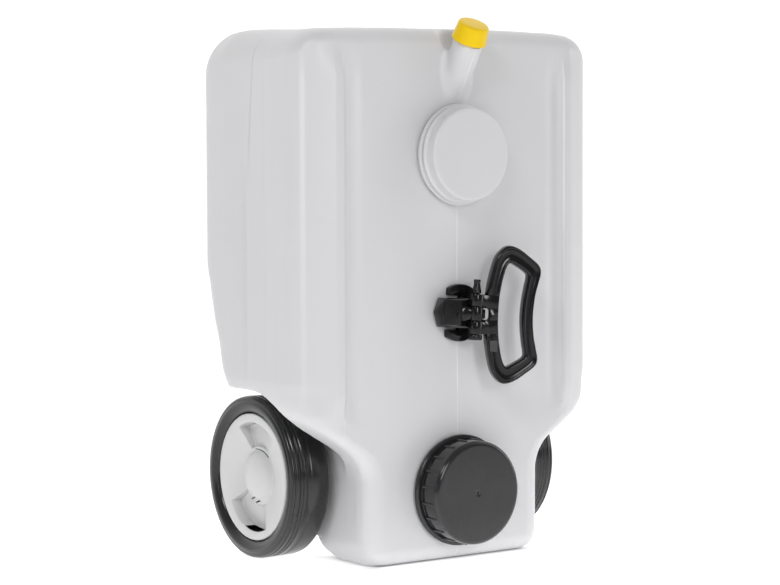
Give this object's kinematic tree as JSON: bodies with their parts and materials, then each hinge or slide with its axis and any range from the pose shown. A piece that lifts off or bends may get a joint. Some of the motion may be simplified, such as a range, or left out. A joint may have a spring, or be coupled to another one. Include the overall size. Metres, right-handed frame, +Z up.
{
  "type": "portable waste water tank",
  "caption": "Upright plastic waste water tank on two wheels, with a screw drain cap low on the front, a leaning vent cap on top and a swivelling, fold-out pull handle.",
  "frame": {"origin": "on the floor, under the middle of the whole object", "axes": "+Z up, +X to the right seen from the front, and the front with the caps and the handle faces -Y; the wheel axle runs along X"},
  "size_m": [0.336, 0.2372, 0.4942],
  "materials": {
    "shell": "blow-moulded light grey plastic, satin",
    "black": "moulded black plastic, satin",
    "yellow": "moulded yellow plastic, satin gloss",
    "seal": "soft black rubber",
    "tyre": "soft black plastic tread with round grooves",
    "rim": "moulded black plastic",
    "cover": "moulded light grey plastic, satin",
    "bush": "plain white plastic",
    "steel": "zinc plated"
  },
  "bodies": {
    "tank": {"tank_shell": "shell", "axle": "steel", "inner_washer_left": "steel", "inner_washer_right": "steel", "outer_washer_left": "steel", "outer_washer_right": "steel", "push_nut_left": "steel", "push_nut_right": "steel"},
    "wheel_left": {"tyre_left": "tyre", "rim_left": "rim", "hub_cover_left": "cover", "wheel_bush_left": "bush"},
    "wheel_right": {"tyre_right": "tyre", "rim_right": "rim", "hub_cover_right": "cover", "wheel_bush_right": "bush"},
    "drain_seal": {"drain_cap_seal": "seal"},
    "drain_cap": {"drain_cap": "black"},
    "vent_seal": {"vent_cap_seal": "seal"},
    "vent_cap": {"vent_cap": "yellow"},
    "handle_swivel": {"handle_base": "black", "hinge_pin": "black"},
    "handle_loop": {"handle_loop": "black"}
  },
  "joints": [
    {"name": "wheel_left_roll", "type": "hinge", "parent": "tank", "child": "wheel_left", "pos_m": [0, 0.0436, 0.075], "axis": [1, 0, 0], "continuous": true},
    {"name": "wheel_right_roll", "type": "hinge", "parent": "tank", "child": "wheel_right", "pos_m": [0, 0.0436, 0.075], "axis": [1, 0, 0], "continuous": true},
    {"name": "drain_cap_lift", "type": "slide", "parent": "tank", "child": "drain_seal", "axis": [0, -1, 0], "range_m": [0, 0.0181]},
    {"name": "drain_cap_turn", "type": "hinge", "parent": "drain_seal", "child": "drain_cap", "pos_m": [0, -0.0779, 0.0646], "axis": [0, -1, 0], "range_deg": [0, 1080]},
    {"name": "vent_cap_lift", "type": "slide", "parent": "tank", "child": "vent_seal", "axis": [0, -0.4909, 0.8712], "range_m": [0, 0.0141]},
    {"name": "vent_cap_turn", "type": "hinge", "parent": "vent_seal", "child": "vent_cap", "pos_m": [0, -0.0936, 0.4728], "axis": [0, -0.4909, 0.8712], "range_deg": [0, 1440]},
    {"name": "handle_swivel_turn", "type": "hinge", "parent": "tank", "child": "handle_swivel", "pos_m": [0, -0.0754, 0.2269], "axis": [0, -1, 0], "continuous": true},
    {"name": "handle_loop_swing", "type": "hinge", "parent": "handle_swivel", "child": "handle_loop", "pos_m": [0.00619, -0.0954, 0.22655], "axis": [-0.0558, 0, -0.9984], "range_deg": [-28, 92]}
  ],
  "couplings": [
    {"joint": "drain_cap_lift", "follows": "drain_cap_turn", "m_per_rad": 0.00095493},
    {"joint": "vent_cap_lift", "follows": "vent_cap_turn", "m_per_rad": 0.00055704}
  ]
}
